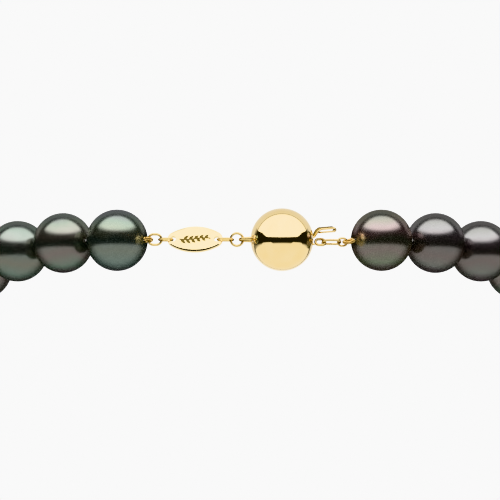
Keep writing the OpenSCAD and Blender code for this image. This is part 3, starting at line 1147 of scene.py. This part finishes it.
def metal_light(m):
    """What the ball and the tag mirror: a large soft light in front and overhead, a dark gap at
    the horizon that flares at the sides, a pale table and a pale wall behind."""
    flare = m.rise(m.y, -0.6, -0.05)
    gap_top = m.mix(flare, GAP_TOP_FRONT, GAP_TOP_SIDE)
    over_gap = m.rise(m.op("SUBTRACT", m.elevation, gap_top), -1.0, 1.0)
    camera_side = m.times(m.fall(m.y, -0.86, -0.72), m.fall(m.op("ABSOLUTE", m.x), 0.55, 0.72))
    gap_low = m.mix(m.rise(m.y, -0.3, 0.0), GAP_LOW_FRONT, GAP_LOW_SIDE)
    gap_low = m.mix(camera_side, gap_low, GAP_LOW_CAMERA)
    under_gap = m.fall(m.op("SUBTRACT", m.elevation, gap_low), -1.5, 1.5)
    behind = m.rise(m.y, 0.52, 0.6)
    light = m.mix(behind, GAP, SURROUND)
    table_rim = m.times(m.rise(m.y, -0.37, -0.33), m.fall(m.y, -0.32, -0.26))
    light = m.mix(under_gap, light, m.mix(table_rim, TABLE, 0.7 * TABLE))
    panel_rim = m.times(m.rise(m.y, 0.25, 0.30), m.fall(m.y, 0.33, 0.40))
    above = m.mix(m.rise(m.y, 0.27, 0.33), SOFTBOX, SURROUND)
    return m.mix(over_gap, light, m.mix(panel_rim, above, PANEL_RIM))


def pearl_light(m):
    """What all the other pieces mirror: the soft light cut to a smaller panel."""
    side = m.op("ABSOLUTE", m.x)
    panel_edge = m.mix(m.rise(side, 0.2, 0.9), 0.22, 0.10)
    panel_front = m.fall(m.op("SUBTRACT", m.y, panel_edge), -0.06, 0.06)
    panel = m.times(panel_front, m.rise(m.elevation, *PEARL_GAP_TOP))
    table_fade = m.mix(m.rise(m.y, -0.1, 0.75), TABLE, FAR_TABLE)
    under_gap = m.fall(m.elevation, *PEARL_GAP_LOW)
    behind = m.times(m.rise(m.y, 0.3, 0.6), m.rise(m.op("ABSOLUTE", m.z), 0.05, 0.35))
    light = m.mix(behind, GAP, FAR_WALL)
    light = m.mix(under_gap, light, table_fade)
    return m.mix(panel, light, SOFTBOX)


def make_world():
    """The pearls' light from every side; the camera itself sees a plain white backdrop."""
    world = bpy.data.worlds.new("studio")
    bpy.context.scene.world = world
    world.use_nodes = True
    tree = world.node_tree
    tree.nodes.clear()
    coords = add(tree, "ShaderNodeTexCoord")
    studio = add(tree, "ShaderNodeBackground", color=(1, 1, 1, 1))
    tree.links.new(pearl_light(Maths(tree, coords.outputs["Generated"])), studio.inputs["Strength"])
    seen = add(tree, "ShaderNodeBackground", color=(1, 1, 1, 1), strength=BACKDROP)
    ray = add(tree, "ShaderNodeLightPath")
    choose = add(tree, "ShaderNodeMixShader")
    out = add(tree, "ShaderNodeOutputWorld")
    tree.links.new(ray.outputs["Is Camera Ray"], choose.inputs[0])
    tree.links.new(studio.outputs[0], choose.inputs[1])
    tree.links.new(seen.outputs[0], choose.inputs[2])
    tree.links.new(choose.outputs[0], out.inputs["Surface"])


def make_metal_light():
    """A clear shell round the object that gives the ball and the tag the rest of their light."""
    mesh = bpy.data.meshes.new("metal_light")
    bm = bmesh.new()
    bmesh.ops.create_icosphere(bm, subdivisions=4, radius=SHELL_R)
    bm.to_mesh(mesh)
    bm.free()
    mat = bpy.data.materials.new("metal_light")
    mat.use_nodes = True
    tree = mat.node_tree
    tree.nodes.clear()
    coords = add(tree, "ShaderNodeTexCoord")
    direction = add(tree, "ShaderNodeVectorMath", operation="NORMALIZE")
    tree.links.new(coords.outputs["Object"], direction.inputs[0])
    m = Maths(tree, direction.outputs[0])
    extra = m.op("MAXIMUM", m.op("SUBTRACT", metal_light(m), pearl_light(m)), 0.0)
    glow = add(tree, "ShaderNodeEmission")
    tree.links.new(extra, glow.inputs["Strength"])
    clear = add(tree, "ShaderNodeBsdfTransparent")
    both = add(tree, "ShaderNodeAddShader")
    out = add(tree, "ShaderNodeOutputMaterial")
    tree.links.new(glow.outputs[0], both.inputs[0])
    tree.links.new(clear.outputs[0], both.inputs[1])
    tree.links.new(both.outputs[0], out.inputs["Surface"])
    mesh.materials.append(mat)
    shell = bpy.data.objects.new("metal_light", mesh)
    shell.visible_camera = False
    bpy.context.scene.collection.objects.link(shell)
    polished = bpy.data.collections.new("polished")
    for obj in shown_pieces():
        if obj != shell and obj["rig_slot"] in ("ball_gold", "tag_gold"):
            polished.objects.link(obj)
    shell.light_linking.receiver_collection = polished


def make_floor():
    mesh = bpy.data.meshes.new("floor")
    bm = bmesh.new()
    bmesh.ops.create_circle(bm, cap_ends=True, segments=96, radius=FLOOR_R)
    bm.to_mesh(mesh)
    bm.free()
    floor = bpy.data.objects.new("floor", mesh)
    floor.location.z = FLOOR_Z
    mat, tree, bsdf = shader("floor")
    grain = local_noise(tree, 0.05, 2)
    tone = ramp(tree, grain.outputs["Fac"], ((0.3, (0.86, 0.86, 0.86)), (0.7, (0.88, 0.88, 0.88))))
    tree.links.new(tone.outputs["Color"], bsdf.inputs["Base Color"])
    bsdf.inputs["Roughness"].default_value = 0.9
    mesh.materials.append(mat)
    bpy.context.scene.collection.objects.link(floor)
    floor.visible_glossy = False


CAMERA_BACK = 800 * MM
CAMERA_ASIDE = 5.08 * MM
CAMERA_BELOW = 1.65 * MM
LENS_MM = 362.7
SENSOR_MM = 36


def make_camera():
    """A long lens behind the wearer, level with the clasp and a little to its left."""
    data = bpy.data.cameras.new("camera")
    data.sensor_width = SENSOR_MM
    data.lens = LENS_MM
    data.clip_start = 0.05
    data.clip_end = 20
    camera = bpy.data.objects.new("camera", data)
    camera.location = BALL_C - Vector((CAMERA_ASIDE, CAMERA_BACK, CAMERA_BELOW))
    camera.rotation_euler = (math.radians(90), 0, 0)
    bpy.context.scene.collection.objects.link(camera)
    bpy.context.scene.camera = camera


make_world()
make_metal_light()
make_floor()
make_camera()
bpy.context.scene.view_settings.view_transform = "Khronos PBR Neutral"
bpy.context.scene.view_settings.look = "None"
